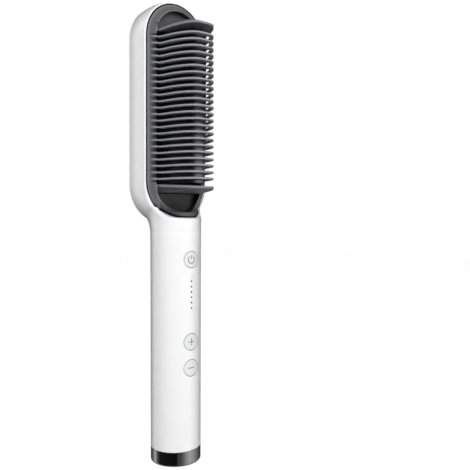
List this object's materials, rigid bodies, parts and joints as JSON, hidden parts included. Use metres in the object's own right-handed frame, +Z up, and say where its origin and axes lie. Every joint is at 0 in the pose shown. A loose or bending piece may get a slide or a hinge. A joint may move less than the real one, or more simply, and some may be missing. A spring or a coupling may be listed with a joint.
{
  "type": "hair straightening brush",
  "caption": "Heated hair brush with a round handle, a pill-shaped head, arched comb ribs over a heated dome, press buttons and an indicator row.",
  "frame": {"origin": "centre of the flat underside of the base cap, on the handle's axis", "axes": "+Z up the handle to the head, -Y is the side with the comb and buttons, +X to the right of someone who faces the comb"},
  "size_m": [0.0486, 0.0472, 0.2854],
  "materials": {
    "white_shell": "high gloss white moulding",
    "comb_plastic": "satin dark grey heat-resistant moulding",
    "coated_aluminium": "dark ceramic coating",
    "silicone": "matt",
    "ceramic": "fired",
    "insulation": "pressed mica",
    "spring_steel": "plain",
    "heat_plastic": "matt",
    "screw_steel": "zinc plated",
    "dark_metallic": "satin dark metallic",
    "button_plastic": "gloss white with grey symbols",
    "clear_plastic": "clear moulding",
    "led_plastic": "clear",
    "board_laminate": "green laminate",
    "carrier_plastic": "matt",
    "black_plastic": "matt",
    "yellow_plastic": "matt",
    "can_aluminium": "sleeved can",
    "gloss_black": "high gloss black",
    "gland_rubber": "matt",
    "lead_sleeve": "matt sleeve"
  },
  "bodies": {
    "brush": {"handle_shell": "white_shell", "comb_guard": "comb_plastic", "heating_plate": "coated_aluminium", "plate_gasket": "silicone", "ceramic_heater": "ceramic", "heater_insulation": "insulation", "heater_clamp": "spring_steel", "heater_tray": "heat_plastic", "tray_screws": "screw_steel", "thermal_fuse": "spring_steel", "thermistor": "ceramic", "back_bezel": "dark_metallic", "back_panel": "white_shell", "light_guide": "clear_plastic", "indicator_leds": "led_plastic", "control_board": "board_laminate", "board_carrier": "carrier_plastic", "board_screws": "screw_steel", "microcontroller": "black_plastic", "triac": "black_plastic", "x2_capacitor": "yellow_plastic", "smoothing_capacitor": "can_aluminium", "base_cap": "gloss_black", "inlet_gland": "gland_rubber", "supply_leads": "lead_sleeve", "heater_leads": "lead_sleeve", "sensor_leads": "lead_sleeve", "power_switch": "black_plastic", "plus_switch": "black_plastic", "minus_switch": "black_plastic"},
    "power": {"power_button": "button_plastic", "power_plunger": "black_plastic"},
    "plus": {"plus_button": "button_plastic", "plus_plunger": "black_plastic"},
    "minus": {"minus_button": "button_plastic", "minus_plunger": "black_plastic"}
  },
  "joints": [
    {"name": "power_press", "type": "slide", "parent": "brush", "child": "power", "axis": [0, 1, 0], "range_m": [0, 0.0005], "stiffness_N_per_m": 1000, "springref_m": -0.0005},
    {"name": "plus_press", "type": "slide", "parent": "brush", "child": "plus", "axis": [0, 1, 0], "range_m": [0, 0.0005], "stiffness_N_per_m": 1000, "springref_m": -0.0005},
    {"name": "minus_press", "type": "slide", "parent": "brush", "child": "minus", "axis": [0, 1, 0], "range_m": [0, 0.0005], "stiffness_N_per_m": 1000, "springref_m": -0.0005}
  ]
}
